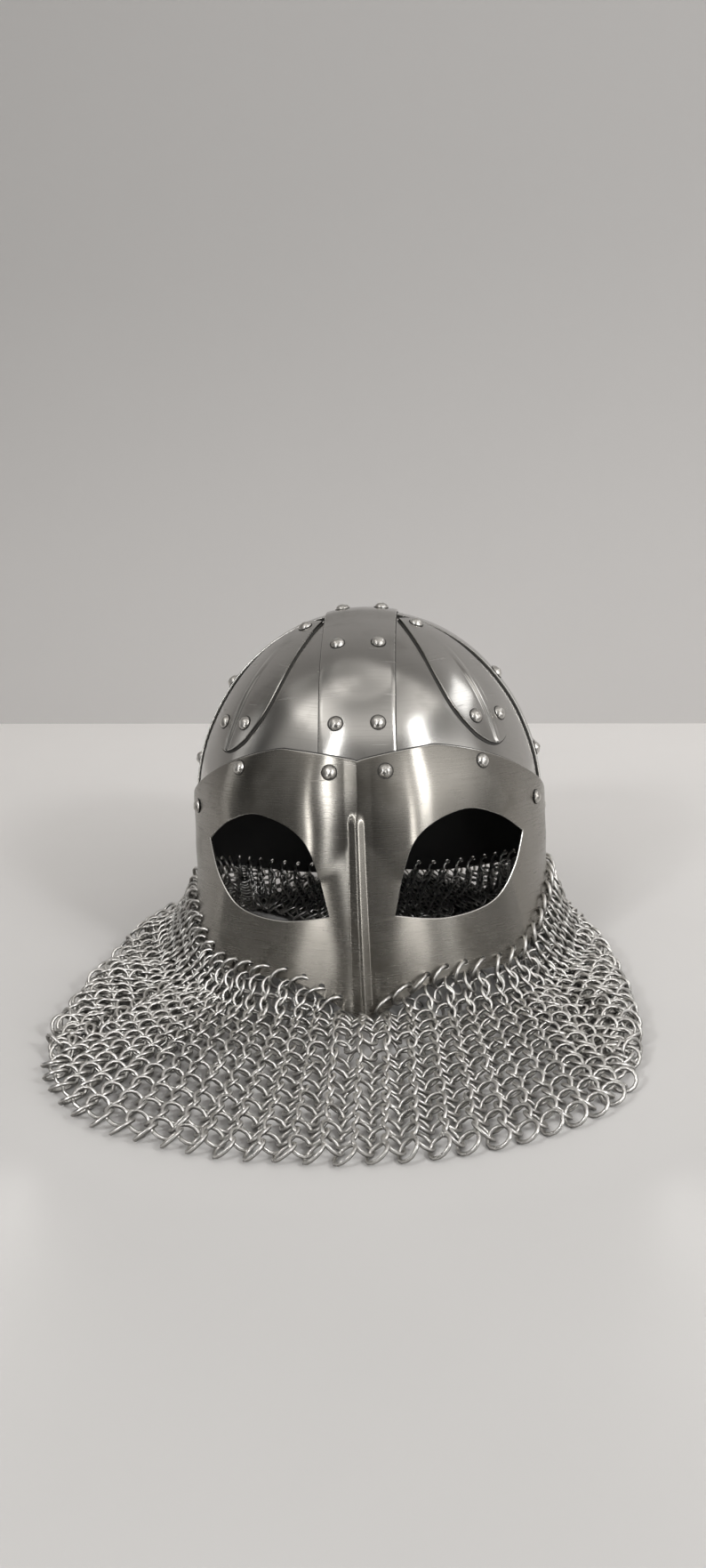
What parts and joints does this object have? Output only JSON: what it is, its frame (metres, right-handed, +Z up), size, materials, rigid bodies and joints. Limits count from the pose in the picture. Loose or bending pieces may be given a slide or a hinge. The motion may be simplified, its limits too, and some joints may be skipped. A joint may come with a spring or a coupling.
{
  "type": "spangenhelm helmet with mail skirt",
  "caption": "Riveted steel spangenhelm with panels, straps and leaf plates, a spectacle mask over the face, and a skirt of mail that spreads on the floor before it and is tucked in under the nape.",
  "frame": {"origin": "floor level, under the middle of the footprint of the spread mail", "axes": "+Z up, the mask looks along -Y, +X is the wearer's left"},
  "size_m": [0.3024, 0.37, 0.2079],
  "materials": {
    "panel": "satin polished",
    "strap": "satin polished",
    "mask": "satin polished",
    "rivet": "polished",
    "mail": "galvanised wire"
  },
  "bodies": {
    "root": {"cross_band": "strap", "crown_band": "strap", "leaf_front_left": "strap", "leaf_front_right": "strap", "leaf_rear_left": "strap", "leaf_rear_right": "strap", "mail_skirt": "mail", "mail_tuck": "mail", "mask_plate": "mask", "nape_plate": "mask", "panel_front_left": "panel", "panel_front_right": "panel", "panel_rear_left": "panel", "panel_rear_right": "panel", "rivet_band_brow_left": "rivet", "rivet_band_brow_right": "rivet", "rivet_band_crown_front_left": "rivet", "rivet_band_crown_front_right": "rivet", "rivet_band_crown_rear_left": "rivet", "rivet_band_crown_rear_right": "rivet", "rivet_band_front_left": "rivet", "rivet_band_front_right": "rivet", "rivet_band_nape_left": "rivet", "rivet_band_nape_right": "rivet", "rivet_band_rear_left": "rivet", "rivet_band_rear_right": "rivet", "rivet_cross_high_front_left": "rivet", "rivet_cross_high_front_right": "rivet", "rivet_cross_high_rear_left": "rivet", "rivet_cross_high_rear_right": "rivet", "rivet_cross_low_front_left": "rivet", "rivet_cross_low_front_right": "rivet", "rivet_cross_low_rear_left": "rivet", "rivet_cross_low_rear_right": "rivet", "rivet_leaf_front_left_front": "rivet", "rivet_leaf_front_left_rear": "rivet", "rivet_leaf_front_left_top": "rivet", "rivet_leaf_front_right_front": "rivet", "rivet_leaf_front_right_rear": "rivet", "rivet_leaf_front_right_top": "rivet", "rivet_leaf_rear_left_front": "rivet", "rivet_leaf_rear_left_rear": "rivet", "rivet_leaf_rear_left_top": "rivet", "rivet_leaf_rear_right_front": "rivet", "rivet_leaf_rear_right_rear": "rivet", "rivet_leaf_rear_right_top": "rivet", "rivet_mask_ear_left": "rivet", "rivet_mask_ear_right": "rivet", "rivet_mask_nose_left": "rivet", "rivet_mask_nose_right": "rivet", "rivet_mask_temple_left": "rivet", "rivet_mask_temple_right": "rivet", "rivet_nape_ear_left": "rivet", "rivet_nape_ear_right": "rivet", "rivet_nape_middle_left": "rivet", "rivet_nape_middle_right": "rivet", "rivet_nape_side_left": "rivet", "rivet_nape_side_right": "rivet"}
  },
  "joints": []
}
